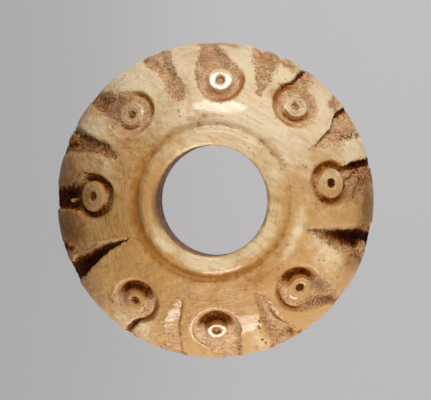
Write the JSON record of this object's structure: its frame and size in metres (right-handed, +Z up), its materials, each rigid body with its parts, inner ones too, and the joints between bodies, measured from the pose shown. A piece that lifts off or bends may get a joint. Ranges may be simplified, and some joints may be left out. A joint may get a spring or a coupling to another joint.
{
  "type": "bone spindle whorl",
  "caption": "Turned and carved ring of polished bone: a domed spindle whorl with drilled ring-and-dot eyes, radial knife cuts and a raised collar round its bore.",
  "frame": {"origin": "middle of the flat underside, on the axis of the bore", "axes": "+Z up along the bore, out of the collar; +X to the picture's right and +Y to its top"},
  "size_m": [0.025, 0.0249, 0.0098],
  "materials": {
    "bone": "hand-polished bone, cream to honey, with brown soil stain in the cuts, eyes and groove"
  },
  "bodies": {
    "root": {"spindle_whorl": "bone"}
  },
  "joints": []
}
